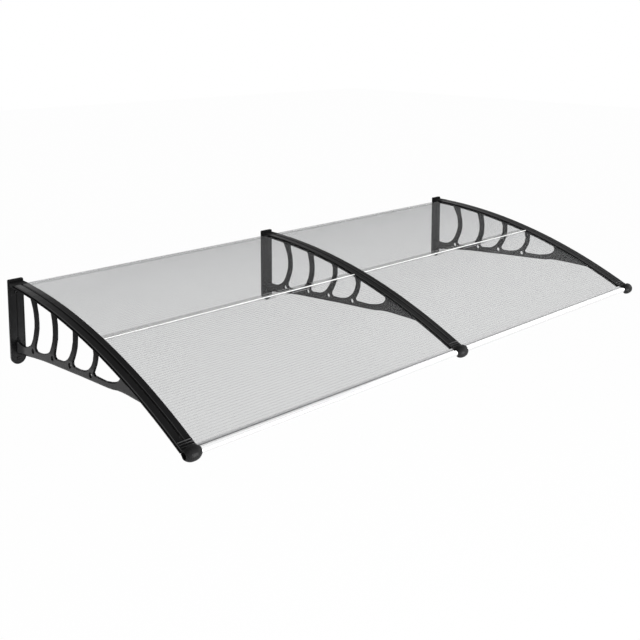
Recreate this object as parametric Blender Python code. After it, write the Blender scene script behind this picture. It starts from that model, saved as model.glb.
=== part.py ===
"""A polycarbonate door canopy of two bays on three moulded brackets.

All lengths below are millimetres. The wall is the plane y = 0, the canopy reaches out towards -Y,
X runs along the wall from the centre bracket and Z is up. Heights are measured from the lower end of
the wall plates, and every piece hangs from an empty that brings the middle of the centre plate's back,
halfway between its two bolt holes, to the origin.
"""

import math

import bmesh
import bpy
from mathutils import Vector
from mathutils.geometry import delaunay_2d_cdt

METRES = 0.001
SHARP_DEGREES = 35

# The brackets along the wall.
BRACKET_PITCH = 976.5
BRACKETS = {"left": -BRACKET_PITCH, "centre": 0.0, "right": BRACKET_PITCH}
BAYS = {"left": -BRACKET_PITCH, "right": 0.0}

# The circle that the sheets and rails follow, seen from the side, and the height of its crown.
COVER_TOP_RADIUS = 2167.0
CROWN_Z = 259.0
ARC_Y = -16.0
ARC_Z = CROWN_Z - COVER_TOP_RADIUS

# Through the rail, from its top down.
COVER_THICKNESS = 3.5
SHEET_THICKNESS = 4.5
SHEET_PLAY = 0.3
FLANGE_THICKNESS = 3.0
RAIL_WIDTH = 44.0
FIN_WIDTH = 6.0
COVER_BOTTOM_RADIUS = COVER_TOP_RADIUS - COVER_THICKNESS
SHEET_TOP_RADIUS = COVER_BOTTOM_RADIUS - SHEET_PLAY
SHEET_BOTTOM_RADIUS = SHEET_TOP_RADIUS - SHEET_THICKNESS
FLANGE_TOP_RADIUS = SHEET_BOTTOM_RADIUS - SHEET_PLAY
FLANGE_BOTTOM_RADIUS = FLANGE_TOP_RADIUS - FLANGE_THICKNESS

# The wall plate.
PLATE_WIDTH = 47.0
PLATE_TOP_MARGIN = 7.7
PLATE_TOP_Z = CROWN_Z + PLATE_TOP_MARGIN
PLATE_THICKNESS = 8.5
PLATE_CORNER = 3.0
PLATE_RIM_WIDTH = 3.0
PLATE_RIM_HEIGHT = 1.2
PLATE_FLOOR_Y = PLATE_RIM_HEIGHT - PLATE_THICKNESS
BOLT_HOLE_RADIUS = 3.25
BOLT_COLLAR_RADIUS = 6.0
BOLT_COLLAR_HEIGHT = 3.7
BOLT_COLLAR_Y = PLATE_FLOOR_Y - BOLT_COLLAR_HEIGHT
LOWER_BOLT_Z = 17.0
UPPER_BOLT_Z = 226.0
ORIGIN_Z = (LOWER_BOLT_Z + UPPER_BOLT_Z) / 2
PLATE_GROOVE_WIDTH = 3.4
PLATE_GROOVE_DEPTH = 2.4
PLATE_GROOVE_OUT = 0.7
PLATE_GROOVE_BOTTOM_Z = 88.0
PLATE_GROOVE_OVER_BOLT = 6.0
PLATE_GROOVE_TOP_Z = UPPER_BOLT_Z + PLATE_GROOVE_OVER_BOLT

# How far a cutting body reaches past what it cuts.
CUT_BEYOND = 5.0

# How far from the wall each piece of the rail begins and ends.
RAIL_SINK = 3.3
RAIL_ROOT_Y = PLATE_FLOOR_Y + RAIL_SINK
BLOCK_FRONT_Y = -50.0
BLOCK_WALL = 16.5
SLOT_BACK_Y = BLOCK_FRONT_Y + BLOCK_WALL
COVER_GAP = 0.3
COVER_BACK_Y = BLOCK_FRONT_Y - COVER_GAP
COVER_FRONT_Y = -926.0
COVER_OVERHANG = 2.5
RAIL_FRONT_Y = COVER_FRONT_Y + COVER_OVERHANG
RAIL_STEP = 40.0

# The arm: an upright web in the bracket's middle plane, sunk into the plate and the rail.
WEB_WIDTH = 7.5
WEB_SINK = 2.7
WEB_ROOT_Y = PLATE_FLOOR_Y + WEB_SINK
OPENING_SINK = 0.3
OPENING_ROOT_Y = PLATE_FLOOR_Y + OPENING_SINK
OPENING_RISE = 1.0
OPENING_TOP_RADIUS = FLANGE_BOTTOM_RADIUS + OPENING_RISE
WEB_OVER_OPENING = 0.9
WEB_TOP_RADIUS = OPENING_TOP_RADIUS + WEB_OVER_OPENING
CHORD_ROUNDING = 5.5
RIB_BACK_ROUNDING = 3.5
EDGE_ROUNDING = 1.2
ROUNDING_DEPTH = 3.0

# The lower edge of the arm as (y, z), from the wall out to where it runs into the rail.
CHORD = [
    (-32, 35.2),
    (-74, 41.8),
    (-119, 48.8),
    (-180, 56.8),
    (-240, 62.8),
    (-297, 67.8),
    (-352, 72.7),
    (-406, 77.7),
    (-456, 81.7),
    (-506, 85.7),
    (-554, 89.7),
    (-579, 92.7),
    (-604, 97.6),
    (-626, 99.6),
    (-648, 100.6),
    (-720, 101.0),
]
CHORD_ROOT_Z = 31.0
CHORD_END_Y = -798.0
CHORD_END_RISE = 0.6

# Each opening as (y, z): down the front of one rib, along the chord, and up the back of the next.
OPENINGS = [
    {
        "down": [(OPENING_ROOT_Y, 86), (-12, 76), (-22, 70)],
        "along": [(-38, 67.8), (-59, 67.8), (-76, 71.5)],
        "up": [(-92, 80), (-104, 90), (-117, 110), (-125, 130), (-130.5, 149), (-131.5, 169),
               (-129.5, 184), (-125.5, 200), (-118, 215), (-109.5, 230)],
        "top": (-102, OPENING_ROOT_Y),
    },
    {
        "down": [(-144.5, 219), (-152.5, 190), (-154.5, 165), (-153.5, 146.5), (-148.5, 128.5),
                 (-140.5, 108.5), (-131.5, 89.5), (-130.5, 81)],
        "along": [(-138.5, 74.7), (-155.5, 74.7), (-174.5, 77.7), (-193.5, 82.7)],
        "up": [(-211, 90), (-222.5, 98), (-235, 117.5), (-244, 136.5), (-248.5, 158), (-248.5, 180),
               (-246, 196.5), (-239, 220)],
        "top": (-234, -139),
    },
    {
        "down": [(-270, 204.5), (-273, 188), (-273, 171.5), (-271, 145.5), (-261, 117.5),
                 (-254.5, 98.5), (-256, 90.5)],
        "along": [(-265, 86.5), (-282, 88.5), (-300, 90.7)],
        "up": [(-316, 96), (-330, 104.5), (-340, 113.5), (-350, 127), (-360, 143), (-368.5, 168.5),
               (-370, 193), (-366.5, 202)],
        "top": (-362, -265),
    },
    {
        "down": [(-391.5, 180), (-387.5, 153.5), (-380.5, 135.5), (-371, 117.5), (-364.5, 107),
                 (-364.5, 99)],
        "along": [(-372, 94.7), (-402.5, 95.7), (-418.5, 98.5)],
        "up": [(-435, 103), (-449.5, 109.5), (-460.5, 118.5), (-469.5, 127.5), (-479.5, 145.5),
               (-483.5, 164), (-480.5, 178)],
        "top": (-477, -390),
    },
    {
        "down": [(-502, 152.5), (-496, 135.5), (-486, 117.5), (-481, 109)],
        "along": [(-487, 103.8), (-516, 104.6), (-545, 106)],
        "up": [(-575, 112.5), (-594, 118), (-607, 124), (-615, 130.5), (-620, 138.5), (-619, 147)],
        "top": (-611, -505),
    },
]

# The through hole at the foot of each rib, and the pocket in the front of the rib beside it.
FOOT_HOLES = [(-116.5, 70.2), (-242.0, 83.2), (-348.7, 92.0), (-466.3, 99.0)]
FOOT_HOLE_RADIUS = 7.5
FOOT_HOLE_SIDES = 12
POCKETS = [(-135.5, 97.0), (-258.0, 107.0), (-368.5, 113.0), (-485.5, 117.0)]
POCKET_TILT = [24.0, 20.0, 29.0, 29.0]
POCKET_WIDTH = 4.2
POCKET_HEIGHT = 20.0
POCKET_DEPTH = 4.0

# The rail cover's top.
COVER_EDGE = 1.4
COVER_GROOVE_TOP_WIDTH = 8.0
COVER_GROOVE_FLOOR_WIDTH = 5.6
COVER_GROOVE_DEPTH = 1.3
COVER_RIDGES = 3
COVER_RIDGE_PITCH = 7.3
COVER_RIDGE_MARGIN = 7.4
COVER_RIDGE_WIDTH = 38.0
COVER_RIDGE_LENGTH = 3.4
COVER_RIDGE_HEIGHT = 1.5
COVER_RIDGE_EDGE = 0.2
COVER_RIDGE_SINK = 0.8
COVER_BEVEL_LENGTH = 2.0
COVER_BEVEL_DEPTH = 1.2

# The front bar: a tube level with the sheet's top, with a lipped slot that takes the front sheet's edge.
BAR_RADIUS = 8.3
BAR_WALL = 1.6
BAR_BORE_RADIUS = BAR_RADIUS - BAR_WALL
BAR_LIP_THICKNESS = 1.2
BAR_LIP_LENGTH = 11.2
BAR_LIP_REACH = BAR_RADIUS + BAR_LIP_LENGTH
BAR_SLOT_TOP = SHEET_PLAY
BAR_SLOT_BOTTOM = -SHEET_THICKNESS - SHEET_PLAY
BAR_LIP_TOP = BAR_SLOT_TOP + BAR_LIP_THICKNESS
BAR_LIP_BOTTOM = BAR_SLOT_BOTTOM - BAR_LIP_THICKNESS
BAR_SHEET_OVERLAP = 1.7
BAR_END_GAP = 0.5
BAR_NOTCH_OVERLAP = 0.4
BAR_SIDES = 28
BAR_BORE_SIDES = 20

# The front nose: a barrel that lies along X round the front bar.
NOSE_AHEAD = 10.0
NOSE_Y = COVER_FRONT_Y - NOSE_AHEAD
NOSE_PLAY = 0.5
NOSE_BORE_RADIUS = BAR_RADIUS + NOSE_PLAY
NOSE_END_WALL = 1.5
NOSE_BULGE = 8.7
NOSE_FULLNESS = 2.6
NOSE_WEB = 7.5
NOSE_WIDTH = 45.0
NOSE_RINGS = 12
NOSE_SIDES = 32
NOSE_GAP = 0.3
NOSE_BACK = NOSE_AHEAD - NOSE_GAP
NOSE_LOWER_BACK = NOSE_AHEAD + COVER_OVERHANG - NOSE_GAP
NOSE_LIP_PLAY = 0.3
NOSE_COVER_PLAY = 0.2
NOSE_TIP_AHEAD = 1.0

# The sheets and the flutes inside them.
SHEET_SKIN = 0.4
FLUTE_PITCH = 8.7
FLUTE_WALL = 0.4
FLUTES_PER_FACET = 4
SHEET_SIDE_GAP = 1.0
SHEET_BACK_GAP = 0.7
SHEET_BACK_Y = SLOT_BACK_Y - SHEET_BACK_GAP

# The joiner between the rear and the front sheet.
JOINER_WEB_Y = -491.5
JOINER_WIDTH = 21.0
JOINER_BACK_Y = JOINER_WEB_Y + JOINER_WIDTH / 2
JOINER_FRONT_Y = JOINER_WEB_Y - JOINER_WIDTH / 2
JOINER_WALL = 1.0
JOINER_WEB_WIDTH = 1.4
JOINER_BEAD_MARGIN = 2.6
JOINER_BEAD_WIDTH = 3.2
JOINER_BEAD_SLOPE = 0.6
JOINER_BEAD_HEIGHT = 0.9
JOINER_PLAY = 0.15

# The strip along the sheets' rear edge.
STRIP_WALL = 1.0
STRIP_SHEET_GAP = 0.8
STRIP_BACK_Y = SHEET_BACK_Y + STRIP_SHEET_GAP + STRIP_WALL
STRIP_DEPTH = 12.6
STRIP_FRONT_Y = STRIP_BACK_Y - STRIP_DEPTH
STRIP_GAP = 0.4


def arc_z(y, radius):
    """The height at y of the circle of this radius about the arc's centre."""
    return ARC_Z + math.sqrt(radius**2 - (y - ARC_Y) ** 2)


def arc_angle(y, radius):
    return math.asin((ARC_Y - y) / radius)


def arc_point(angle, radius):
    return (ARC_Y - radius * math.sin(angle), ARC_Z + radius * math.cos(angle))


def arc_run(y_start, y_end, radius, step):
    """Points (y, z) along the circle from y_start to y_end, at most about step apart."""
    start = arc_angle(y_start, radius)
    end = arc_angle(y_end, radius)
    count = max(1, math.ceil(abs(end - start) * radius / step))
    return [arc_point(start + (end - start) * i / count, radius) for i in range(count + 1)]


def material(name, colour, roughness, metallic=0.0):
    made = bpy.data.materials.get(name)
    if made:
        return made
    made = bpy.data.materials.new(name)
    made.use_nodes = True
    shader = made.node_tree.nodes["Principled BSDF"]
    shader.inputs["Base Color"].default_value = (*colour, 1.0)
    shader.inputs["Roughness"].default_value = roughness
    shader.inputs["Metallic"].default_value = metallic
    return made


def black_plastic():
    return material("black_plastic", (0.02, 0.02, 0.021), 0.45)


def clear_sheet():
    return material("clear_sheet", (0.75, 0.77, 0.78), 0.2)


def clear_strip():
    return material("clear_strip", (0.62, 0.64, 0.65), 0.25)


def bright_bar():
    return material("bright_bar", (0.88, 0.89, 0.9), 0.3, 0.6)


def make(name, points, faces, surface):
    """A closed mesh object from points in millimetres, with its faces turned outwards."""
    mesh = bpy.data.meshes.new(name)
    mesh.from_pydata([Vector(p) * METRES for p in points], [], faces)
    work = bmesh.new()
    work.from_mesh(mesh)
    bmesh.ops.recalc_face_normals(work, faces=work.faces)
    work.to_mesh(mesh)
    work.free()
    mesh.materials.append(surface)
    made = bpy.data.objects.new(name, mesh)
    bpy.context.collection.objects.link(made)
    return made


def join(base, other, operation):
    """Applies an exact boolean of other to base, and removes other."""
    modifier = base.modifiers.new(operation, "BOOLEAN")
    modifier.operation = operation
    modifier.solver = "EXACT"
    modifier.object = other
    graph = bpy.context.evaluated_depsgraph_get()
    mesh = bpy.data.meshes.new_from_object(base.evaluated_get(graph))
    base.modifiers.remove(modifier)
    base.data = mesh
    bpy.data.objects.remove(other)


def inside(point, loop):
    """Whether a flat point lies in a loop, by counting the edges that a line from it crosses."""
    crossings = 0
    for (y1, z1), (y2, z2) in zip(loop, loop[1:] + loop[:1]):
        if (z1 > point.y) != (z2 > point.y):
            crossings += point.x < y1 + (y2 - y1) * (point.y - z1) / (z2 - z1)
    return crossings % 2 == 1


def flat_loop_faces(loops):
    """Triangles over an outer loop of (y, z) with holes, numbered through the loops in turn."""
    flat = [Vector(point) for loop in loops for point in loop]
    edges = []
    first = 0
    for loop in loops:
        edges += [(first + i, first + (i + 1) % len(loop)) for i in range(len(loop))]
        first += len(loop)
    only_inside = 1
    _, _, found, sources, _, _ = delaunay_2d_cdt(flat, edges, [], only_inside, 1e-6)
    faces = [tuple(sources[i][0] for i in face) for face in found]
    return [face for face in faces if not in_a_hole(face, flat, loops[1:])]


def in_a_hole(face, flat, holes):
    middle = (flat[face[0]] + flat[face[1]] + flat[face[2]]) / 3
    return any(inside(middle, hole) for hole in holes)


def prism(name, loops, x_start, x_end, surface):
    """The area of the first (y, z) loop less the later ones, extruded along X."""
    flat = [point for loop in loops for point in loop]
    count = len(flat)
    points = [(x_start, y, z) for y, z in flat] + [(x_end, y, z) for y, z in flat]
    caps = flat_loop_faces(loops)
    faces = caps + [tuple(i + count for i in face) for face in caps]
    first = 0
    for loop in loops:
        for i in range(len(loop)):
            here = first + i
            after = first + (i + 1) % len(loop)
            faces.append((here, after, after + count, here + count))
        first += len(loop)
    return make(name, points, faces, surface)


def sweep(name, section, y_start, y_end, surface):
    """A section of (x, height above the cover's top circle) carried along the arc."""
    start = arc_angle(y_start, COVER_TOP_RADIUS)
    end = arc_angle(y_end, COVER_TOP_RADIUS)
    count = math.ceil((end - start) * COVER_TOP_RADIUS / RAIL_STEP)
    points = []
    for i in range(count + 1):
        angle = start + (end - start) * i / count
        for x, height in section:
            points.append((x, *arc_point(angle, COVER_TOP_RADIUS + height)))
    size = len(section)
    faces = [tuple(range(size)), tuple(range(count * size, (count + 1) * size))]
    for i in range(count):
        for j in range(size):
            here = i * size + j
            after = i * size + (j + 1) % size
            faces.append((here, after, after + size, here + size))
    return make(name, points, faces, surface)


def swept_box(name, x_range, radii, y_start, y_end, surface):
    low = radii[0] - COVER_TOP_RADIUS
    high = radii[1] - COVER_TOP_RADIUS
    section = [(x_range[0], low), (x_range[1], low), (x_range[1], high), (x_range[0], high)]
    return sweep(name, section, y_start, y_end, surface)


def cylinder_x(name, centre, radius, x_start, x_end, sides, surface):
    loop = circle_loop(centre, radius, sides)
    return prism(name, [loop], x_start, x_end, surface)


def circle_loop(centre, radius, sides):
    turns = [2 * math.pi * i / sides for i in range(sides)]
    return [(centre[0] + radius * math.cos(t), centre[1] + radius * math.sin(t)) for t in turns]


def plate_outline(inset):
    """The wall plate's outline as (x, z), brought in by inset: square at the top, round at the bottom."""
    half = PLATE_WIDTH / 2 - inset
    middle = PLATE_WIDTH / 2
    top = PLATE_TOP_Z - inset
    corner = max(PLATE_CORNER - inset, 0.5)
    outline = []
    for i in range(13):
        turn = math.pi + math.pi * i / 12
        outline.append((half * math.cos(turn), middle + half * math.sin(turn)))
    for i in range(4):
        turn = math.pi / 2 * i / 3
        outline.append((half - corner + corner * math.cos(turn), top - corner + corner * math.sin(turn)))
    for i in range(4):
        turn = math.pi / 2 + math.pi / 2 * i / 3
        outline.append((-half + corner + corner * math.cos(turn), top - corner + corner * math.sin(turn)))
    return outline


def slab_y(name, outline, y_start, y_end, surface):
    """An (x, z) outline extruded along Y."""
    count = len(outline)
    points = [(x, y_start, z) for x, z in outline] + [(x, y_end, z) for x, z in outline]
    faces = [tuple(range(count)), tuple(range(count, 2 * count))]
    for i in range(count):
        after = (i + 1) % count
        faces.append((i, after, after + count, i + count))
    return make(name, points, faces, surface)


def turned_loop(loop, counterclockwise):
    area = sum(
        loop[i - 1][0] * loop[i][1] - loop[i][0] * loop[i - 1][1] for i in range(len(loop))
    )
    return loop if (area > 0) == counterclockwise else loop[::-1]


def brought_in(loop):
    """Each point of (y, z, rounding) moved by its rounding towards the left of the loop's direction."""
    moved = []
    for i, (y, z, rounding) in enumerate(loop):
        back = Vector((y - loop[i - 1][0], z - loop[i - 1][1])).normalized()
        on = loop[(i + 1) % len(loop)]
        ahead = Vector((on[0] - y, on[1] - z)).normalized()
        normal = Vector((-back.y - ahead.y, back.x + ahead.x)).normalized()
        stretch = rounding / max(0.5, normal.dot(Vector((-ahead.y, ahead.x))))
        moved.append((y + normal.x * stretch, z + normal.y * stretch))
    return moved


def rounded_web(name, loops, surface):
    """The upright web: an outer loop and holes of (y, z, rounding), with that much taken off each edge."""
    loops = [turned_loop(loop, number == 0) for number, loop in enumerate(loops)]
    flat = [point for loop in loops for point in loop]
    inner_loops = [brought_in(loop) for loop in loops]
    inner = [point for loop in inner_loops for point in loop]
    half = WEB_WIDTH / 2
    rows = [
        [(-half, y, z) for y, z in inner],
        [(-half + min(max(r, 0.6), ROUNDING_DEPTH), y, z) for y, z, r in flat],
        [(half - min(max(r, 0.6), ROUNDING_DEPTH), y, z) for y, z, r in flat],
        [(half, y, z) for y, z in inner],
    ]
    count = len(flat)
    points = [point for row in rows for point in row]
    caps = flat_loop_faces(inner_loops)
    faces = caps + [tuple(i + 3 * count for i in face) for face in caps]
    first = 0
    for loop in loops:
        for i in range(len(loop)):
            here = first + i
            after = first + (i + 1) % len(loop)
            for row in range(3):
                low = row * count
                faces.append((here + low, after + low, after + low + count, here + low + count))
        first += len(loop)
    return make(name, points, faces, surface)


def web_outline():
    outline = [(WEB_ROOT_Y, CHORD_ROOT_Z, EDGE_ROUNDING)]
    outline += [(y, z, CHORD_ROUNDING) for y, z in CHORD]
    outline.append((CHORD_END_Y, arc_z(CHORD_END_Y, FLANGE_BOTTOM_RADIUS + CHORD_END_RISE), 0.0))
    top = arc_run(CHORD_END_Y, WEB_ROOT_Y, WEB_TOP_RADIUS, 2 * RAIL_STEP)
    return outline + [(y, z, 0.0) for y, z in top]


def opening_outline(opening):
    outline = [(y, z, EDGE_ROUNDING) for y, z in opening["down"] + opening["along"]]
    outline += [(y, z, RIB_BACK_ROUNDING) for y, z in opening["up"]]
    front, back = opening["top"]
    top = arc_run(front, back, OPENING_TOP_RADIUS, 2 * RAIL_STEP)
    return outline + [(y, z, 0.0) for y, z in top]


def foot_hole_outline(centre):
    loop = circle_loop(centre, FOOT_HOLE_RADIUS, FOOT_HOLE_SIDES)
    return [(y, z, EDGE_ROUNDING) for y, z in loop]


def arm_web():
    loops = [web_outline()]
    loops += [opening_outline(opening) for opening in OPENINGS]
    loops += [foot_hole_outline(centre) for centre in FOOT_HOLES]
    web = rounded_web("web", loops, black_plastic())
    for centre, tilt in zip(POCKETS, POCKET_TILT):
        join(web, pocket_cutter(centre, tilt), "DIFFERENCE")
    return web


def pocket_cutter(centre, tilt):
    """A box that leaves a pocket in the front of a rib's foot, leaning with the rib."""
    lean = math.radians(tilt)
    along = Vector((-math.sin(lean), math.cos(lean)))
    across = Vector((math.cos(lean), math.sin(lean)))
    middle = Vector(centre)
    corners = [
        middle - along * POCKET_HEIGHT / 2 - across * POCKET_DEPTH * 3,
        middle - along * POCKET_HEIGHT / 2 + across * POCKET_DEPTH,
        middle + along * POCKET_HEIGHT / 2 + across * POCKET_DEPTH,
        middle + along * POCKET_HEIGHT / 2 - across * POCKET_DEPTH * 3,
    ]
    loop = [(corner.x, corner.y) for corner in corners]
    return prism("pocket", [loop], -POCKET_WIDTH / 2, POCKET_WIDTH / 2, black_plastic())


def rail_body():
    """The rear block, the flange under the sheets and the fin between them, in one swept piece."""
    black = black_plastic()
    half = RAIL_WIDTH / 2
    fin = FIN_WIDTH / 2
    beyond = RAIL_FRONT_Y - CUT_BEYOND
    rail = swept_box(
        "rail", (-half, half), (FLANGE_BOTTOM_RADIUS, COVER_TOP_RADIUS), RAIL_ROOT_Y, RAIL_FRONT_Y, black
    )
    for side in (-1, 1):
        slot_x = sorted((side * fin, side * (half + CUT_BEYOND)))
        slot = swept_box("slot", slot_x, (FLANGE_TOP_RADIUS, COVER_BOTTOM_RADIUS), SLOT_BACK_Y, beyond, black)
        join(rail, slot, "DIFFERENCE")
    over_fin = (SHEET_TOP_RADIUS, COVER_TOP_RADIUS + CUT_BEYOND)
    above_x = (-half - CUT_BEYOND, half + CUT_BEYOND)
    above = swept_box("above", above_x, over_fin, BLOCK_FRONT_Y, beyond, black)
    join(rail, above, "DIFFERENCE")
    return rail


def wall_plate():
    black = black_plastic()
    plate = slab_y("plate", plate_outline(0.0), 0.0, -PLATE_THICKNESS, black)
    past = -PLATE_THICKNESS - CUT_BEYOND
    recess = slab_y("recess", plate_outline(PLATE_RIM_WIDTH), PLATE_FLOOR_Y, past, black)
    join(plate, recess, "DIFFERENCE")
    return plate


def cut_plate(bracket):
    """The upright groove in the plate's face, and the two bolt holes, each through a low collar."""
    half = PLATE_GROOVE_WIDTH / 2
    low = PLATE_GROOVE_BOTTOM_Z
    high = PLATE_GROOVE_TOP_Z
    outline = [(-half, low), (half, low), (half, high), (-half, high)]
    deep = PLATE_FLOOR_Y + PLATE_GROOVE_DEPTH
    groove = slab_y("groove", outline, deep, PLATE_FLOOR_Y - PLATE_GROOVE_OUT, black_plastic())
    join(bracket, groove, "DIFFERENCE")
    for z in (LOWER_BOLT_Z, UPPER_BOLT_Z):
        rim = circle_loop((0.0, z), BOLT_COLLAR_RADIUS, 16)
        collar = slab_y("collar", rim, PLATE_FLOOR_Y / 2, BOLT_COLLAR_Y, black_plastic())
        join(bracket, collar, "UNION")
        ring = circle_loop((0.0, z), BOLT_HOLE_RADIUS, 16)
        drill = slab_y("drill", ring, CUT_BEYOND, BOLT_COLLAR_Y - CUT_BEYOND, black_plastic())
        join(bracket, drill, "DIFFERENCE")


def bracket():
    made = wall_plate()
    join(made, rail_body(), "UNION")
    join(made, arm_web(), "UNION")
    cut_plate(made)
    return made


def rail_cover():
    half = RAIL_WIDTH / 2
    low = -COVER_THICKNESS
    groove_edge = COVER_GROOVE_TOP_WIDTH / 2
    groove_floor = COVER_GROOVE_FLOOR_WIDTH / 2
    section = [
        (-half, low),
        (half, low),
        (half, -COVER_EDGE),
        (half - COVER_EDGE, 0.0),
        (groove_edge, 0.0),
        (groove_floor, -COVER_GROOVE_DEPTH),
        (-groove_floor, -COVER_GROOVE_DEPTH),
        (-groove_edge, 0.0),
        (-half + COVER_EDGE, 0.0),
        (-half, -COVER_EDGE),
    ]
    cover = sweep("cover", section, COVER_BACK_Y, COVER_FRONT_Y, black_plastic())
    for i in range(COVER_RIDGES):
        ridge_y = COVER_FRONT_Y + COVER_RIDGE_MARGIN + i * COVER_RIDGE_PITCH
        join(cover, cover_ridge(ridge_y), "UNION")
    join(cover, bevel_cutter(), "DIFFERENCE")
    return cover


def cover_ridge(y):
    """A low rounded rib across the cover, sunk into it past the groove."""
    half = COVER_RIDGE_LENGTH / 2
    low = -COVER_GROOVE_DEPTH - COVER_RIDGE_SINK
    shape = [(-half, low), (half, low), (half, COVER_RIDGE_EDGE), (0.0, COVER_RIDGE_HEIGHT),
             (-half / 2, COVER_RIDGE_HEIGHT), (-half, COVER_RIDGE_EDGE)]
    loop = about_arc(y, COVER_TOP_RADIUS, shape)
    return prism("ridge", [loop], -COVER_RIDGE_WIDTH / 2, COVER_RIDGE_WIDTH / 2, black_plastic())


def bevel_cutter():
    """A wedge that slopes the cover's top down at its front end."""
    beyond = CUT_BEYOND
    slope = COVER_BEVEL_DEPTH / COVER_BEVEL_LENGTH
    shape = [(-COVER_BEVEL_LENGTH, 0.0), (beyond, -COVER_BEVEL_DEPTH - slope * beyond), (beyond, beyond),
             (-COVER_BEVEL_LENGTH, beyond)]
    loop = about_arc(COVER_FRONT_Y, COVER_TOP_RADIUS, shape)
    return prism("bevel", [loop], -RAIL_WIDTH, RAIL_WIDTH, black_plastic())


def about_arc(y, radius, shape):
    """The (y, z) of points given by how far they lie down along the arc from y, and up from it."""
    angle = arc_angle(y, radius)
    along = Vector((-math.cos(angle), -math.sin(angle)))
    up = Vector((-math.sin(angle), math.cos(angle)))
    middle = Vector((y, arc_z(y, radius)))
    return [tuple(middle + along * a + up * b) for a, b in shape]


def about_nose(shape):
    return about_arc(NOSE_Y, SHEET_TOP_RADIUS, shape)


def barrel():
    """A solid barrel that swells from its ends to its middle."""
    centre = about_nose([(0.0, 0.0)])[0]
    end_radius = NOSE_BORE_RADIUS + NOSE_END_WALL
    shares = [2 * i / NOSE_RINGS - 1 for i in range(NOSE_RINGS + 1)]
    swells = [NOSE_BULGE * (1 - abs(share) ** NOSE_FULLNESS) for share in shares]
    profile = [(share * NOSE_WIDTH / 2, end_radius + swell) for share, swell in zip(shares, swells)]
    points = [(x, *point) for x, radius in profile for point in circle_loop(centre, radius, NOSE_SIDES)]
    rings = len(profile)
    faces = [tuple(range(NOSE_SIDES)), tuple(range((rings - 1) * NOSE_SIDES, rings * NOSE_SIDES))]
    for ring in range(rings - 1):
        for i in range(NOSE_SIDES):
            here = ring * NOSE_SIDES + i
            after = ring * NOSE_SIDES + (i + 1) % NOSE_SIDES
            faces.append((here, after, after + NOSE_SIDES, here + NOSE_SIDES))
    return make("barrel", points, faces, black_plastic())


def front_nose(hooked_sides):
    """The barrel, with a blind bore from each side. A hooked side is open below and behind, for a bar.

    A side without a hook carries the rail's lower part on to the barrel.
    """
    black = black_plastic()
    nose = barrel()
    centre = about_nose([(0.0, 0.0)])[0]
    web = NOSE_WEB / 2
    past = NOSE_WIDTH
    neck_radii = (FLANGE_BOTTOM_RADIUS, COVER_BOTTOM_RADIUS - NOSE_COVER_PLAY)
    for side in (-1, 1):
        if side not in hooked_sides:
            neck_x = sorted((0.0, side * RAIL_WIDTH / 2))
            neck = swept_box("neck", neck_x, neck_radii, RAIL_FRONT_Y - NOSE_GAP, NOSE_Y, black)
            join(nose, neck, "UNION")
    for side in (-1, 1):
        bore_x = sorted((side * web, side * past))
        bore = cylinder_x("bore", centre, NOSE_BORE_RADIUS, *bore_x, NOSE_SIDES, black)
        join(nose, bore, "DIFFERENCE")
    shelf = COVER_BOTTOM_RADIUS - SHEET_TOP_RADIUS - NOSE_COVER_PLAY
    behind = about_nose([
        (-past, -past), (-NOSE_LOWER_BACK, -past), (-NOSE_LOWER_BACK, shelf), (-NOSE_BACK, shelf),
        (-NOSE_BACK, past), (-past, past),
    ])
    join(nose, prism("behind", [behind], -past, past, black), "DIFFERENCE")
    root = BAR_LIP_TOP + NOSE_LIP_PLAY
    mouth = [
        (NOSE_Y - NOSE_TIP_AHEAD, centre[1]),
        (NOSE_Y - NOSE_TIP_AHEAD, centre[1] - past),
        (NOSE_Y + past, centre[1] - past),
        *about_nose([(-past, root), (0.0, root)]),
    ]
    for side in hooked_sides:
        mouth_x = sorted((side * web, side * past))
        join(nose, prism("mouth", [mouth], *mouth_x, black), "DIFFERENCE")
    return nose


def flute_loops(angles):
    """One four-sided loop for each flute between neighbouring angles, clear of the walls between them."""
    half_wall = FLUTE_WALL / 2 / SHEET_TOP_RADIUS
    low = SHEET_BOTTOM_RADIUS + SHEET_SKIN
    high = SHEET_TOP_RADIUS - SHEET_SKIN
    loops = []
    for start, end in zip(angles, angles[1:]):
        left = start + half_wall
        right = end - half_wall
        lower = [arc_point(left, low), arc_point(right, low)]
        loops.append(lower + [arc_point(right, high), arc_point(left, high)])
    return loops


def sheet(name, x_start, start, end):
    """A twin-wall sheet between two angles on the arc, with its flutes running along X."""
    count = round((end - start) * SHEET_TOP_RADIUS / FLUTE_PITCH)
    angles = [start + (end - start) * i / count for i in range(count + 1)]
    edge = FLUTE_WALL / 2 / SHEET_TOP_RADIUS
    facets = angles[::FLUTES_PER_FACET]
    if facets[-1] != angles[-1]:
        facets.append(angles[-1])
    facets[0] -= edge
    facets[-1] += edge
    outer = [arc_point(angle, SHEET_BOTTOM_RADIUS) for angle in facets]
    outer += [arc_point(angle, SHEET_TOP_RADIUS) for angle in reversed(facets)]
    side = FIN_WIDTH / 2 + SHEET_SIDE_GAP
    return prism(
        name,
        [outer] + flute_loops(angles),
        x_start + side,
        x_start + BRACKET_PITCH - side,
        clear_sheet(),
    )


def sheets(bay, x_start):
    gap = JOINER_WEB_WIDTH / 2 + SHEET_PLAY
    stop = BAR_BORE_RADIUS - BAR_SHEET_OVERLAP
    bar_stop_y = NOSE_Y + stop * math.cos(arc_angle(NOSE_Y, SHEET_TOP_RADIUS))
    radius = SHEET_TOP_RADIUS
    back = arc_angle(SHEET_BACK_Y, radius)
    seam = arc_angle(JOINER_WEB_Y, radius)
    front = arc_angle(bar_stop_y, radius)
    sheet("sheet_rear_" + bay, x_start, back, seam - gap / radius)
    sheet("sheet_front_" + bay, x_start, seam + gap / radius, front)


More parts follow.
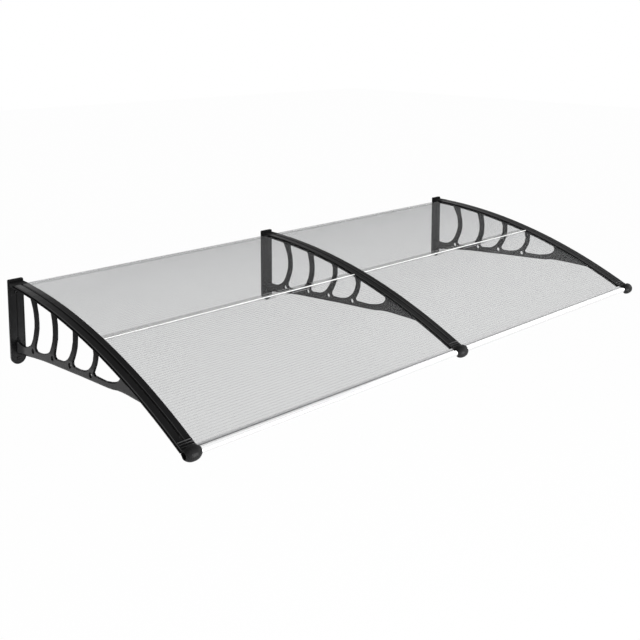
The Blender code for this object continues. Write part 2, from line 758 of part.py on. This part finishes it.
def between_rails(x_start, gap):
    side = RAIL_WIDTH / 2 + gap
    return x_start + side, x_start + BRACKET_PITCH - side


def joiner(bay, x_start):
    """An H section: two flanges over and under the sheets, a web between them and a bead on top."""
    radius = SHEET_TOP_RADIUS

    def at(y, height):
        return arc_point(arc_angle(y, radius), radius + height)

    top = JOINER_PLAY + JOINER_WALL
    low = -SHEET_THICKNESS - JOINER_PLAY
    bottom = low - JOINER_WALL
    half = JOINER_WEB_WIDTH / 2
    web_back = JOINER_WEB_Y + half
    web_front = JOINER_WEB_Y - half
    bead_front = JOINER_FRONT_Y + JOINER_BEAD_MARGIN
    bead_back = bead_front + JOINER_BEAD_WIDTH
    loop = [
        at(JOINER_BACK_Y, JOINER_PLAY),
        at(JOINER_BACK_Y, top),
        at(bead_back, top),
        at(bead_back - JOINER_BEAD_SLOPE, top + JOINER_BEAD_HEIGHT),
        at(bead_front + JOINER_BEAD_SLOPE, top + JOINER_BEAD_HEIGHT),
        at(bead_front, top),
        at(JOINER_FRONT_Y, top),
        at(JOINER_FRONT_Y, JOINER_PLAY),
        at(web_front, JOINER_PLAY),
        at(web_front, low),
        at(JOINER_FRONT_Y, low),
        at(JOINER_FRONT_Y, bottom),
        at(JOINER_BACK_Y, bottom),
        at(JOINER_BACK_Y, low),
        at(web_back, low),
        at(web_back, JOINER_PLAY),
    ]
    return prism("joiner_" + bay, [loop], *between_rails(x_start, STRIP_GAP), clear_strip())


def rear_strip(bay, x_start):
    """A U section over the sheets' rear edge."""
    top = SHEET_TOP_RADIUS + JOINER_PLAY
    low = SHEET_BOTTOM_RADIUS - JOINER_PLAY
    inner_y = STRIP_BACK_Y - STRIP_WALL
    loop = [
        (STRIP_BACK_Y, arc_z(STRIP_BACK_Y, low - STRIP_WALL)),
        (STRIP_BACK_Y, arc_z(STRIP_BACK_Y, top + STRIP_WALL)),
        (STRIP_FRONT_Y, arc_z(STRIP_FRONT_Y, top + STRIP_WALL)),
        (STRIP_FRONT_Y, arc_z(STRIP_FRONT_Y, top)),
        (inner_y, arc_z(inner_y, top)),
        (inner_y, arc_z(inner_y, low)),
        (STRIP_FRONT_Y, arc_z(STRIP_FRONT_Y, low)),
        (STRIP_FRONT_Y, arc_z(STRIP_FRONT_Y, low - STRIP_WALL)),
    ]
    return prism("rear_strip_" + bay, [loop], *between_rails(x_start, STRIP_GAP), clear_strip())


def round_run(radius, start, end, sides):
    turns = [start + (end - start) * i / sides for i in range(sides + 1)]
    return [(radius * math.cos(turn), radius * math.sin(turn)) for turn in turns]


def bar_loop():
    """The bar's section about the nose's centre: a round tube with two lips that grip the sheet."""
    outer_start = math.pi - math.asin(BAR_LIP_BOTTOM / BAR_RADIUS)
    outer_end = 3 * math.pi - math.asin(BAR_LIP_TOP / BAR_RADIUS)
    inner_start = 3 * math.pi - math.asin(BAR_SLOT_TOP / BAR_BORE_RADIUS)
    inner_end = math.pi - math.asin(BAR_SLOT_BOTTOM / BAR_BORE_RADIUS)
    shape = [(-BAR_LIP_REACH, BAR_LIP_BOTTOM)]
    shape += round_run(BAR_RADIUS, outer_start, outer_end, BAR_SIDES)
    shape += [(-BAR_LIP_REACH, BAR_LIP_TOP), (-BAR_LIP_REACH, BAR_SLOT_TOP)]
    shape += round_run(BAR_BORE_RADIUS, inner_start, inner_end, BAR_BORE_SIDES)
    shape.append((-BAR_LIP_REACH, BAR_SLOT_BOTTOM))
    return about_nose(shape)


def front_bar(bay, x_start):
    """The bar reaches into the noses, and its lips stop short of the rails."""
    inset = NOSE_WEB / 2 + BAR_END_GAP
    clear = RAIL_WIDTH / 2 + STRIP_GAP
    x_end = x_start + BRACKET_PITCH
    bar = prism("front_bar_" + bay, [bar_loop()], x_start + inset, x_end - inset, bright_bar())
    back = -NOSE_BACK + BAR_NOTCH_OVERLAP
    past = BAR_LIP_REACH + CUT_BEYOND
    notch = about_nose([(-past, -past), (back, -past), (back, past), (-past, past)])
    for x_range in ((x_start, x_start + clear), (x_end - clear, x_end)):
        join(bar, prism("notch", [notch], *x_range, bright_bar()), "DIFFERENCE")
    return bar


def placed(made, name, x):
    """Names a piece that was made about x = 0, and moves it to x."""
    made.name = name
    made.data.name = name
    made.location.x = x * METRES


def copy_of(made):
    twin = made.copy()
    bpy.context.collection.objects.link(twin)
    return twin


def place_at_brackets(made, name):
    """Puts a copy of a piece at the centre and right brackets, and the piece itself at the left one."""
    for side in ("centre", "right"):
        placed(copy_of(made), name + side, BRACKETS[side])
    placed(made, name + "left", BRACKETS["left"])


def hang_from_origin():
    """Shades the pieces, and hangs them from an empty that lowers them to the mounting point."""
    empty = bpy.data.objects.new("canopy", None)
    pieces = list(bpy.context.collection.objects)
    bpy.context.collection.objects.link(empty)
    empty.location.z = -ORIGIN_Z * METRES
    for piece in pieces:
        piece.data.shade_smooth()
        piece.data.set_sharp_from_angle(angle=math.radians(SHARP_DEGREES))
        piece.parent = empty


def build():
    for old in list(bpy.data.objects):
        bpy.data.objects.remove(old)
    place_at_brackets(bracket(), "bracket_")
    place_at_brackets(rail_cover(), "rail_cover_")
    for side, hooked_sides in {"left": (1,), "centre": (-1, 1), "right": (-1,)}.items():
        placed(front_nose(hooked_sides), "front_nose_" + side, BRACKETS[side])
    for bay, x_start in BAYS.items():
        sheets(bay, x_start)
        joiner(bay, x_start)
        rear_strip(bay, x_start)
        front_bar(bay, x_start)
    hang_from_origin()


build()
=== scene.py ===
"""The door canopy as photographed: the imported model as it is, with materials, a studio and the camera."""

import math

import bpy
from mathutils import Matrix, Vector


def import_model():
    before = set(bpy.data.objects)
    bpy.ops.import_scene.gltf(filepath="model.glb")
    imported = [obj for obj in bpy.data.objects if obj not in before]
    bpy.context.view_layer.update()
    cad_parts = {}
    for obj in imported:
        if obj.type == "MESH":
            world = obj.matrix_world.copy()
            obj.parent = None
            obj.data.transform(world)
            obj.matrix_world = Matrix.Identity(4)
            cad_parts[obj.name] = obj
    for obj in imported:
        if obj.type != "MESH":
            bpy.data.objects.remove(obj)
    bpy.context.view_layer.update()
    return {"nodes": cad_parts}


# The camera, in the model's frame: where it stands, where it looks, and its lens for a 640 pixel picture.
CAMERA_AT = (-2.0912, -2.5929, 0.9037)
CAMERA_YAW = 42.41
CAMERA_PITCH = -7.18
FOCAL_PIXELS = 904.3
PRINCIPAL_ROW = 140.0
PICTURE = 640
SENSOR_MM = 36.0

# The studio.
FLOOR_Z = -2.2
FLOOR_SIZE = 60.0
FLOOR_COLOUR = (0.9, 0.9, 0.9)
FLOOR_ROUGHNESS = 0.9
FLOOR_WHITENESS = 0.98
BACKGROUND = (1.0, 1.0, 1.0)
AMBIENT = 0.35

# Each lamp: its name, where it stands, where it points, its width and height in metres, and its watts.
LAMPS = [
    ("left_softbox", (-5.0, -1.2, 0.0), (0, -0.4, 0), (3.0, 2.0), 70),
    ("left_back_softbox", (-3.0, 3.0, -1.0), (-0.9, -0.4, 0), (2.0, 2.0), 16),
    ("front_softbox", (0.5, -4.5, -0.5), (0, -0.4, 0), (3.0, 2.0), 480),
    ("back_softbox", (0.25, 2.55, 0.95), (-0.98, -0.08, 0.13), (0.8, 0.8), 2),
    ("right_softbox", (4.6, -3.0, 1.65), (0.3, -0.9, 0), (3.0, 1.5), 75),
    ("high_softbox", (4.0, -0.1, 2.9), (0.2, -0.6, 0), (2.5, 2.0), 16),
]

# The plastic's roughness, and how it changes up the bracket, in shares of the bracket's height.
SATIN = (0.16, 0.22)
NOSE_SATIN = (0.3, 0.38)
DULL = 0.6
CHORD_SLOPE = 0.36
DULL_FROM = (0.62, 0.82)

# The plastic's shine, and its grain and patches: the scale and detail of each noise, and the grain's bump.
PLASTIC_SHINE = 0.018
NOSE_SHINE = 0.035
GRAIN = (900.0, 3.0)
PATCHES = (14.0, 2.0)
GRAIN_STRENGTH = 0.12
GRAIN_DEPTH = 0.0002

# The plastic's blacks.
BLACKS = ((0.007, 0.007, 0.0072), (0.012, 0.012, 0.0123))
NOSE_BLACKS = ((0.008, 0.008, 0.0082), (0.013, 0.013, 0.0133))

# The painted highlight on the plastic's edges, by the share of their normal that points sideways or forward.
EDGE_PAINTED_HIGHLIGHT = (0.06, 0.06, 0.061)
SIDE_ON = (0.95, 1.1)
BEVEL_SIDEWAYS = (0.4, 0.9)
SLOPE_FORWARD = (-0.97, -0.6)

# The painted light on the sides of the arm's lower edge, and the heights that it covers. The painted shade in
# the groove, and where the groove lies, in shares of the cover's width and length.
CHORD_PAINTED_LIGHT = (0.04, 0.04, 0.041)
PAINTED_LIGHT_HEIGHTS = (-0.1, DULL_FROM[0])
GROOVE_PAINTED_SHADE = (0.002, 0.002, 0.002)
COVER_GROOVE = (0.43, 0.52)
COVER_BEHIND_RIDGES = (0.045, 1.1)

# The clear sheet: the light that a skin lets through head on and at a low angle, and that a wall does.
SKIN_HEAD_ON = (0.903, 0.904, 0.904)
SKIN_LOW_ANGLE = (0.765, 0.767, 0.77)
FLUTE_WALL_CLEAR = (0.972, 0.973, 0.974)
FLUTE_WALL_TILT = (-0.1, 0.7)
LOW_ANGLE_POWER = 5.0

# Its haze: the haze's colour and roughness, its share on the skins and what a wall adds, and its clouds.
HAZE_COLOUR = (0.5, 0.505, 0.51)
HAZE_ROUGHNESS = 0.3
HAZE_ON_SKINS = (0.006, 0.018)
HAZE_ON_WALLS = 0.022
CLOUDS = (5.0, 2.0)

# Its shine: the share that a skin mirrors head on and at a low angle, and how rough the mirror is.
SHEET_SHINE = (0.006, 0.09)
SHEET_SHINE_ROUGHNESS = 0.12

# The strips' greys, the joiner's lower half, and the painted glint on its bead.
STRIP_GREYS = ((0.72, 0.722, 0.724), (0.8, 0.802, 0.804))
JOINER_GREYS = ((0.7, 0.7, 0.695), (0.78, 0.78, 0.775))
CLEAREST = (0.97, 0.97, 0.97)
BEAD_PAINTED_GLINT = (0.86, 0.86, 0.86)
STRIP_ROUGHNESS = 0.05
STRIP_IOR = 1.03

# The fine streaks along an extrusion: how much they are stretched, and how fine they are on each piece.
STREAK_STRETCH = (0.01, 1, 1)
STRIP_STREAKS = 300.0
BAR_STREAKS = 400.0

# The bar's metal, and the painted shade on its lips and in the angle behind them.
BAR_METAL = ((0.86, 0.863, 0.866), (0.95, 0.952, 0.953))
BAR_ROUGHNESS = (0.12, 0.2)
LIP_PAINTED_SHADE = (0.46, 0.465, 0.47)
VALLEY_PAINTED_SHADE = (0.22, 0.22, 0.225)

# How the joiner rises from its front to its back, and its upper half, in shares of its size.
JOINER_SLOPE = -0.42
JOINER_UPPER = (0.4, 1.1)

# Where the joiner's bead and the bar's lips and the angle between lip and tube lie, as shares of the
# piece's depth from its front.
JOINER_BEAD = (0.08, 0.28)
BAR_LIP = (0.6, 1.1)
BAR_VALLEY = (0.6, 0.7)


def nodes_of(name):
    """A new material, its node tree and its Principled shader."""
    made = bpy.data.materials.new(name)
    made.use_nodes = True
    tree = made.node_tree
    return made, tree, tree.nodes["Principled BSDF"]


def add(tree, kind, **settings):
    """A new node of a kind, with its settings."""
    node = tree.nodes.new(kind)
    for key, value in settings.items():
        setattr(node, key, value)
    return node


def black_plastic(name, shine, satin, darker, paler):
    """Moulded black plastic: satin, with a fine grain and faint patches."""
    made, tree, shader = nodes_of(name)
    link = tree.links.new
    place = add(tree, "ShaderNodeTexCoord")
    grain = noise(tree, place, *GRAIN)
    patches = noise(tree, place, *PATCHES)
    colour = two_colours(tree, patches.outputs["Fac"], darker, paler)
    link(colour, shader.inputs["Base Color"])
    link(spread(tree, patches.outputs["Fac"], *satin), shader.inputs["Roughness"])
    bump = add(tree, "ShaderNodeBump")
    bump.inputs["Strength"].default_value = GRAIN_STRENGTH
    bump.inputs["Distance"].default_value = GRAIN_DEPTH
    link(grain.outputs["Fac"], bump.inputs["Height"])
    link(bump.outputs["Normal"], shader.inputs["Normal"])
    shader.inputs["Specular IOR Level"].default_value = shine
    return made


def between(tree, value, low, high):
    """1 where a value lies between low and high, else 0."""
    after = add(tree, "ShaderNodeMath", operation="GREATER_THAN")
    before = add(tree, "ShaderNodeMath", operation="LESS_THAN")
    both = add(tree, "ShaderNodeMath", operation="MULTIPLY")
    after.inputs[1].default_value = low
    before.inputs[1].default_value = high
    tree.links.new(value, after.inputs[0])
    tree.links.new(value, before.inputs[0])
    tree.links.new(after.outputs[0], both.inputs[0])
    tree.links.new(before.outputs[0], both.inputs[1])
    return both.outputs[0]


def facing(tree, axis):
    """The share of a face's normal that lies along an axis, from -1 to 1."""
    geometry = add(tree, "ShaderNodeNewGeometry")
    parts = add(tree, "ShaderNodeSeparateXYZ")
    tree.links.new(geometry.outputs["True Normal"], parts.inputs["Vector"])
    return parts.outputs[axis]


def without_sign(tree, value):
    """A value's size."""
    made = add(tree, "ShaderNodeMath", operation="ABSOLUTE")
    tree.links.new(value, made.inputs[0])
    return made.outputs[0]


def side_on(tree):
    """1 on the faces that look straight along X, else 0."""
    return between(tree, without_sign(tree, facing(tree, "X")), *SIDE_ON)


def painted_highlight_bevels(tree):
    """1 on the bevels along the sides of a piece and on slopes that face forward, where a highlight is
    painted, else 0.
    """
    either = add(tree, "ShaderNodeMath", operation="MAXIMUM")
    sideways = without_sign(tree, facing(tree, "X"))
    tree.links.new(between(tree, sideways, *BEVEL_SIDEWAYS), either.inputs[0])
    tree.links.new(between(tree, facing(tree, "Y"), *SLOPE_FORWARD), either.inputs[1])
    return either.outputs[0]


def recolour(made, share, colour):
    """Puts a colour on a material where the share is 1, and leaves the rest as it is."""
    tree = made.node_tree
    shader = tree.nodes["Principled BSDF"]
    plain = shader.inputs["Base Color"].links[0].from_socket
    mixed = two_colours(tree, share, (0, 0, 0), colour)
    tree.links.new(plain, mixed.node.inputs["A"])
    tree.links.new(mixed, shader.inputs["Base Color"])


def cover_plastic():
    """The same plastic, with a painted highlight on the bevels and front slopes, and dull, with painted
    shade, in the groove.
    """
    made = black_plastic("cover_plastic", PLASTIC_SHINE, SATIN, *BLACKS)
    tree = made.node_tree
    shader = tree.nodes["Principled BSDF"]
    # Painted highlight: a paler colour on the bevels and forward slopes.
    recolour(made, painted_highlight_bevels(tree), EDGE_PAINTED_HIGHLIGHT)
    # Painted shade: a darker black in the groove, which is also made rougher.
    both = add(tree, "ShaderNodeMath", operation="MULTIPLY")
    tree.links.new(across(tree, "X", *COVER_GROOVE), both.inputs[0])
    tree.links.new(across(tree, "Y", *COVER_BEHIND_RIDGES), both.inputs[1])
    groove = both.outputs[0]
    recolour(made, groove, GROOVE_PAINTED_SHADE)
    rough = add(tree, "ShaderNodeMath", operation="MAXIMUM")
    tree.links.new(shader.inputs["Roughness"].links[0].from_socket, rough.inputs[0])
    tree.links.new(groove, rough.inputs[1])
    tree.links.new(rough.outputs[0], shader.inputs["Roughness"])
    return made


def bracket_plastic():
    """The same plastic, satin, with painted light that makes the sides along the arm's lower edge a little
    paler, and duller up the ribs.
    """
    made = black_plastic("bracket_plastic", PLASTIC_SHINE, SATIN, *BLACKS)
    tree = made.node_tree
    link = tree.links.new
    height = rise(tree, CHORD_SLOPE)
    dull = add(tree, "ShaderNodeMapRange")
    dull.inputs["From Min"].default_value, dull.inputs["From Max"].default_value = DULL_FROM
    dull.inputs["To Min"].default_value, dull.inputs["To Max"].default_value = SATIN[0], DULL
    link(height, dull.inputs["Value"])
    link(dull.outputs["Result"], tree.nodes["Principled BSDF"].inputs["Roughness"])
    # Painted light: the side faces low on the arm get a paler colour.
    lower = add(tree, "ShaderNodeMath", operation="MULTIPLY")
    link(between(tree, height, *PAINTED_LIGHT_HEIGHTS), lower.inputs[0])
    link(side_on(tree), lower.inputs[1])
    recolour(made, lower.outputs[0], CHORD_PAINTED_LIGHT)
    return made


def noise(tree, place, scale, detail):
    """A noise texture in the piece's own metres."""
    made = add(tree, "ShaderNodeTexNoise")
    made.inputs["Scale"].default_value = scale
    made.inputs["Detail"].default_value = detail
    tree.links.new(place.outputs["Object"], made.inputs["Vector"])
    return made


def spread(tree, value, low, high):
    """A value from 0 to 1 spread from low to high."""
    made = add(tree, "ShaderNodeMapRange")
    made.inputs["To Min"].default_value = low
    made.inputs["To Max"].default_value = high
    tree.links.new(value, made.inputs["Value"])
    return made.outputs["Result"]


def flute_walls(tree):
    """1 on the upright walls between the flutes and on the cut ends, 0 on the sheet's two skins."""
    return between(tree, without_sign(tree, facing(tree, "Z")), *FLUTE_WALL_TILT)


def low_angle(tree):
    """0 where a surface is seen head on, and near 1 where it is seen at a very low angle."""
    edge_on = add(tree, "ShaderNodeLayerWeight")
    power = add(tree, "ShaderNodeMath", operation="POWER")
    power.inputs[1].default_value = LOW_ANGLE_POWER
    tree.links.new(edge_on.outputs["Facing"], power.inputs[0])
    return power.outputs[0]


def grazing_shine(tree, walls):
    """How much a clear skin mirrors: more at a low angle, only from outside, and not on the walls."""
    share = spread(tree, low_angle(tree), *SHEET_SHINE)
    geometry = add(tree, "ShaderNodeNewGeometry")
    inside = add(tree, "ShaderNodeMath", operation="MAXIMUM")
    outside = add(tree, "ShaderNodeMath", operation="SUBTRACT")
    outside.inputs[0].default_value = 1.0
    result = add(tree, "ShaderNodeMath", operation="MULTIPLY")
    tree.links.new(geometry.outputs["Backfacing"], inside.inputs[0])
    tree.links.new(walls, inside.inputs[1])
    tree.links.new(inside.outputs[0], outside.inputs[1])
    tree.links.new(share, result.inputs[0])
    tree.links.new(outside.outputs[0], result.inputs[1])
    return result.outputs[0]


def clear_sheet():
    """Twin-wall polycarbonate: each skin and each wall between the flutes lets most light through."""
    made, tree, shader = nodes_of("clear_sheet")
    link = tree.links.new
    place = add(tree, "ShaderNodeTexCoord")
    walls = flute_walls(tree)
    skins = two_colours(tree, low_angle(tree), SKIN_HEAD_ON, SKIN_LOW_ANGLE)
    tint = two_colours(tree, walls, (0, 0, 0), FLUTE_WALL_CLEAR)
    link(skins, tint.node.inputs["A"])
    through = add(tree, "ShaderNodeBsdfTransparent")
    link(tint, through.inputs["Color"])
    clouds = noise(tree, place, *CLOUDS)
    milky = add(tree, "ShaderNodeMath", operation="MULTIPLY_ADD")
    link(walls, milky.inputs[0])
    milky.inputs[1].default_value = HAZE_ON_WALLS
    link(spread(tree, clouds.outputs["Fac"], *HAZE_ON_SKINS), milky.inputs[2])
    shader.inputs["Base Color"].default_value = (*HAZE_COLOUR, 1)
    shader.inputs["Roughness"].default_value = HAZE_ROUGHNESS
    haze = add(tree, "ShaderNodeMixShader")
    link(milky.outputs[0], haze.inputs["Fac"])
    link(through.outputs["BSDF"], haze.inputs[1])
    link(shader.outputs["BSDF"], haze.inputs[2])
    gloss = add(tree, "ShaderNodeBsdfGlossy")
    gloss.inputs["Roughness"].default_value = SHEET_SHINE_ROUGHNESS
    shine = add(tree, "ShaderNodeMixShader")
    link(grazing_shine(tree, walls), shine.inputs["Fac"])
    link(haze.outputs["Shader"], shine.inputs[1])
    link(gloss.outputs["BSDF"], shine.inputs[2])
    link(shine.outputs["Shader"], tree.nodes["Material Output"].inputs["Surface"])
    return made


def rise(tree, slope):
    """The height on a piece plus a slope times the depth from its front, both in shares of its size."""
    place = add(tree, "ShaderNodeTexCoord")
    parts = add(tree, "ShaderNodeSeparateXYZ")
    total = add(tree, "ShaderNodeMath", operation="MULTIPLY_ADD")
    total.inputs[1].default_value = slope
    tree.links.new(place.outputs["Generated"], parts.inputs["Vector"])
    tree.links.new(parts.outputs["Y"], total.inputs[0])
    tree.links.new(parts.outputs["Z"], total.inputs[2])
    return total.outputs[0]


def across(tree, axis, low, high):
    """1 between two shares of a piece's size along an axis, and 0 elsewhere."""
    place = add(tree, "ShaderNodeTexCoord")
    parts = add(tree, "ShaderNodeSeparateXYZ")
    tree.links.new(place.outputs["Generated"], parts.inputs["Vector"])
    return between(tree, parts.outputs[axis], low, high)


def two_colours(tree, share, first, second):
    """A colour that goes from the first to the second as the share goes from 0 to 1."""
    made = add(tree, "ShaderNodeMix", data_type="RGBA")
    made.inputs["A"].default_value = (*first, 1)
    made.inputs["B"].default_value = (*second, 1)
    tree.links.new(share, made.inputs["Factor"])
    return made.outputs["Result"]


def clear_strip(name, darker, paler):
    """A strip of clear plastic, a little grey, with fine streaks from its extrusion."""
    made, tree, shader = nodes_of(name)
    streaks = extrusion_streaks(tree, STRIP_STREAKS)
    tree.links.new(two_colours(tree, streaks, darker, paler), shader.inputs["Base Color"])
    shader.inputs["Roughness"].default_value = STRIP_ROUGHNESS
    shader.inputs["IOR"].default_value = STRIP_IOR
    shader.inputs["Transmission Weight"].default_value = 1.0
    return made


def extrusion_streaks(tree, scale):
    """Fine lines along X, which an extruded piece shows."""
    place = add(tree, "ShaderNodeTexCoord")
    stretch = add(tree, "ShaderNodeMapping")
    stretch.inputs["Scale"].default_value = STREAK_STRETCH
    lines = add(tree, "ShaderNodeTexNoise")
    lines.inputs["Scale"].default_value = scale
    tree.links.new(place.outputs["Object"], stretch.inputs["Vector"])
    tree.links.new(stretch.outputs["Vector"], lines.inputs["Vector"])
    return lines.outputs["Fac"]


def joiner_strip():
    """The joiner: like the rear strip above the sheets and clearer below, with a painted glint: its bead is
    solid white.
    """
    made = clear_strip("joiner_strip", *JOINER_GREYS)
    tree = made.node_tree
    upper = between(tree, rise(tree, JOINER_SLOPE), *JOINER_UPPER)
    bead = add(tree, "ShaderNodeMath", operation="MULTIPLY")
    tree.links.new(across(tree, "Y", *JOINER_BEAD), bead.inputs[0])
    tree.links.new(upper, bead.inputs[1])
    lower = add(tree, "ShaderNodeMath", operation="SUBTRACT")
    lower.inputs[0].default_value = 1.0
    tree.links.new(upper, lower.inputs[1])
    recolour(made, lower.outputs[0], CLEAREST)
    # Painted glint: the bead on top is solid white and opaque.
    recolour(made, bead.outputs[0], BEAD_PAINTED_GLINT)
    clear = spread(tree, bead.outputs[0], 1.0, 0.0)
    tree.links.new(clear, tree.nodes["Principled BSDF"].inputs["Transmission Weight"])
    return made


def bright_bar():
    """The bright bar: satin aluminium with fine streaks, with painted shade: grey and duller on its lips and
    dark in the angle behind.
    """
    made, tree, shader = nodes_of("bright_bar")
    streaks = extrusion_streaks(tree, BAR_STREAKS)
    satin = two_colours(tree, streaks, *BAR_METAL)
    tree.links.new(satin, shader.inputs["Base Color"])
    # Painted shade: grey on the lips, dark in the angle between lip and tube.
    lips = across(tree, "Y", *BAR_LIP)
    recolour(made, lips, LIP_PAINTED_SHADE)
    recolour(made, across(tree, "Y", *BAR_VALLEY), VALLEY_PAINTED_SHADE)
    tree.links.new(spread(tree, lips, 1.0, 0.0), shader.inputs["Metallic"])
    tree.links.new(spread(tree, streaks, *BAR_ROUGHNESS), shader.inputs["Roughness"])
    return made


def dress(frame):
    """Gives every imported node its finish."""
    finishes = {
        "bracket": bracket_plastic(),
        "rail_cover": cover_plastic(),
        "front_nose": black_plastic("nose_plastic", NOSE_SHINE, NOSE_SATIN, *NOSE_BLACKS),
        "sheet": clear_sheet(),
        "joiner": joiner_strip(),
        "rear_strip": clear_strip("rear_strip", *STRIP_GREYS),
        "front_bar": bright_bar(),
    }
    for name, node in frame["nodes"].items():
        kind = next(kind for kind in finishes if name.startswith(kind))
        node.data.materials.clear()
        node.data.materials.append(finishes[kind])


def floor():
    """A pale floor far below the canopy, as under a doorway, which shows white to the camera."""
    mesh = bpy.data.meshes.new("floor")
    half = FLOOR_SIZE / 2
    corners = [(x, y, FLOOR_Z) for x, y in ((-half, -half), (half, -half), (half, half), (-half, half))]
    mesh.from_pydata(corners, [], [(0, 1, 2, 3)])
    made = bpy.data.objects.new("floor", mesh)
    bpy.context.scene.collection.objects.link(made)
    surface, tree, shader = nodes_of("floor")
    shader.inputs["Base Color"].default_value = (*FLOOR_COLOUR, 1)
    shader.inputs["Roughness"].default_value = FLOOR_ROUGHNESS
    shader.inputs["Specular IOR Level"].default_value = 0.0
    white = add(tree, "ShaderNodeEmission")
    white.inputs["Color"].default_value = (*BACKGROUND, 1)
    seen = seen_directly(tree)
    mix = add(tree, "ShaderNodeMixShader")
    mix_amount = add(tree, "ShaderNodeMath", operation="MULTIPLY")
    mix_amount.inputs[1].default_value = FLOOR_WHITENESS
    link = tree.links.new
    link(seen, mix_amount.inputs[0])
    link(mix_amount.outputs[0], mix.inputs["Fac"])
    link(shader.outputs["BSDF"], mix.inputs[1])
    link(white.outputs["Emission"], mix.inputs[2])
    link(mix.outputs["Shader"], tree.nodes["Material Output"].inputs["Surface"])
    mesh.materials.append(surface)


def seen_directly(tree):
    """1 where a ray comes straight from the camera, off a mirror or through a clear piece, else 0."""
    path = add(tree, "ShaderNodeLightPath")
    first = add(tree, "ShaderNodeMath", operation="MAXIMUM")
    second = add(tree, "ShaderNodeMath", operation="MAXIMUM")
    tree.links.new(path.outputs["Is Camera Ray"], first.inputs[0])
    tree.links.new(path.outputs["Is Glossy Ray"], first.inputs[1])
    tree.links.new(first.outputs[0], second.inputs[0])
    tree.links.new(path.outputs["Is Transmission Ray"], second.inputs[1])
    return second.outputs[0]


def sky():
    """White to the camera and in reflections, and a dimmer even light on everything else."""
    world = bpy.data.worlds.new("studio")
    world.use_nodes = True
    bpy.context.scene.world = world
    tree = world.node_tree
    ambient = tree.nodes["Background"]
    ambient.inputs["Color"].default_value = (1, 1, 1, 1)
    ambient.inputs["Strength"].default_value = AMBIENT
    white = add(tree, "ShaderNodeBackground")
    white.inputs["Color"].default_value = (*BACKGROUND, 1)
    mix = add(tree, "ShaderNodeMixShader")
    tree.links.new(seen_directly(tree), mix.inputs["Fac"])
    tree.links.new(ambient.outputs["Background"], mix.inputs[1])
    tree.links.new(white.outputs["Background"], mix.inputs[2])
    tree.links.new(mix.outputs["Shader"], tree.nodes["World Output"].inputs["Surface"])


def lamp(name, at, towards, size, watts):
    """A rectangular area lamp that points from one place towards another."""
    data = bpy.data.lights.new(name, "AREA")
    data.shape = "RECTANGLE"
    data.size, data.size_y = size
    data.energy = watts
    made = bpy.data.objects.new(name, data)
    bpy.context.scene.collection.objects.link(made)
    made.location = at
    made.rotation_euler = (Vector(towards) - Vector(at)).to_track_quat("-Z", "Y").to_euler()


def camera():
    """The camera of the photograph, tilted down a little and shifted, so that other sides fit in view too."""
    data = bpy.data.cameras.new("camera")
    data.sensor_width = SENSOR_MM
    data.lens = FOCAL_PIXELS * SENSOR_MM / PICTURE
    data.shift_y = (PRINCIPAL_ROW - PICTURE / 2) / PICTURE
    made = bpy.data.objects.new("camera", data)
    bpy.context.scene.collection.objects.link(made)
    made.location = CAMERA_AT
    made.rotation_euler = (math.radians(90 + CAMERA_PITCH), 0, -math.radians(CAMERA_YAW))
    bpy.context.scene.camera = made


def main():
    """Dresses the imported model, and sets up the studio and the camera."""
    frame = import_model()
    dress(frame)
    floor()
    sky()
    for settings in LAMPS:
        lamp(*settings)
    camera()
    bpy.context.scene.view_settings.view_transform = "Standard"


main()
